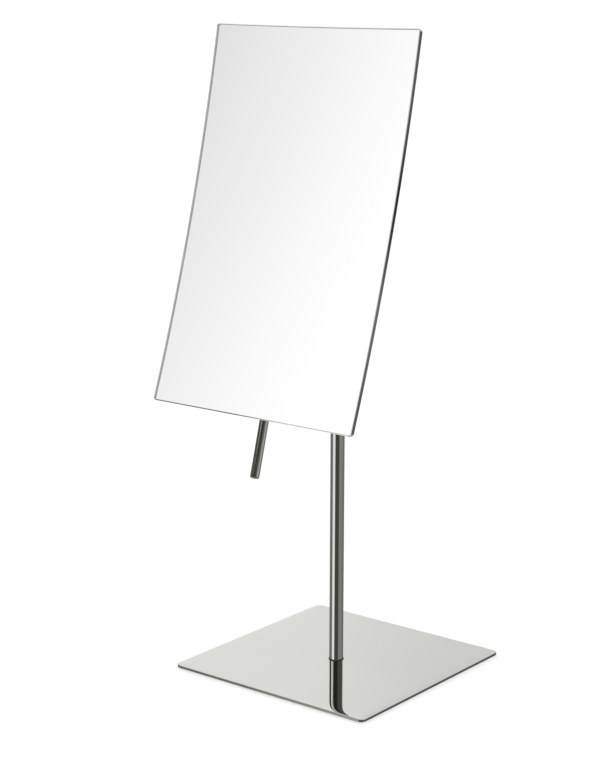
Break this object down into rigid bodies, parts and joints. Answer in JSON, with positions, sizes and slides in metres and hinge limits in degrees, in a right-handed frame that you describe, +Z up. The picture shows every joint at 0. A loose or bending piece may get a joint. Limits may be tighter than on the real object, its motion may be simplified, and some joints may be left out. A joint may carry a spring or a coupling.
{
  "type": "table shaving mirror",
  "caption": "Rectangular concave shaving mirror on a telescopic stem with a square plate base; it tilts, swivels and rises.",
  "frame": {"origin": "centre of the base pad's underside, on the table top", "axes": "+Z up along the stem; the mirror faces -Y; +X along the hinge bolt towards the cap nut"},
  "size_m": [0.1424, 0.1546, 0.3797],
  "materials": {
    "chrome": "polished chrome plate",
    "polished_steel": "mirror-polished steel plate",
    "tray_steel": "thin satin steel with a polished rim",
    "zinc_screw": "zinc-plated",
    "brass": "turned",
    "nylon": "natural nylon",
    "rubber": "black, matt",
    "foam_pad": "dense pale grey foam, matt",
    "tape": "white mounting tape",
    "silvered_glass": "silvered behind, polished"
  },
  "bodies": {
    "base": {"base_pad": "foam_pad", "base_plate": "polished_steel", "base_screw": "zinc_screw", "foot_gasket": "rubber", "tube_plug": "brass", "outer_tube": "chrome", "guide_bush": "nylon", "tube_collar": "chrome"},
    "rod": {"inner_rod": "chrome", "rod_piston": "nylon", "friction_ring": "rubber", "piston_screw": "zinc_screw", "swivel_screw": "zinc_screw"},
    "neck": {"swivel_washer": "nylon", "elbow": "chrome", "spring_washer_swivel": "zinc_screw", "elbow_cap": "chrome", "hinge_arm": "chrome"},
    "mirror_head": {"hinge_bracket": "chrome", "hinge_bolt": "zinc_screw", "hinge_nut": "chrome", "spring_washer_hinge": "zinc_screw", "friction_washer_left": "nylon", "friction_washer_right": "nylon", "bracket_pad": "tape", "back_tray": "tray_steel", "glass_tape": "tape", "mirror_glass": "silvered_glass", "tilt_lever": "chrome"}
  },
  "joints": [
    {"name": "height", "type": "slide", "parent": "base", "child": "rod", "axis": [0, 0, 1], "range_m": [0, 0.09]},
    {"name": "swivel", "type": "hinge", "parent": "rod", "child": "neck", "pos_m": [0, -0.0024, 0.26772], "axis": [0, 0, 1], "continuous": true},
    {"name": "tilt", "type": "hinge", "parent": "neck", "child": "mirror_head", "pos_m": [0, -0.0338, 0.26772], "axis": [-1, 0, 0], "range_deg": [-25, 50]}
  ]
}
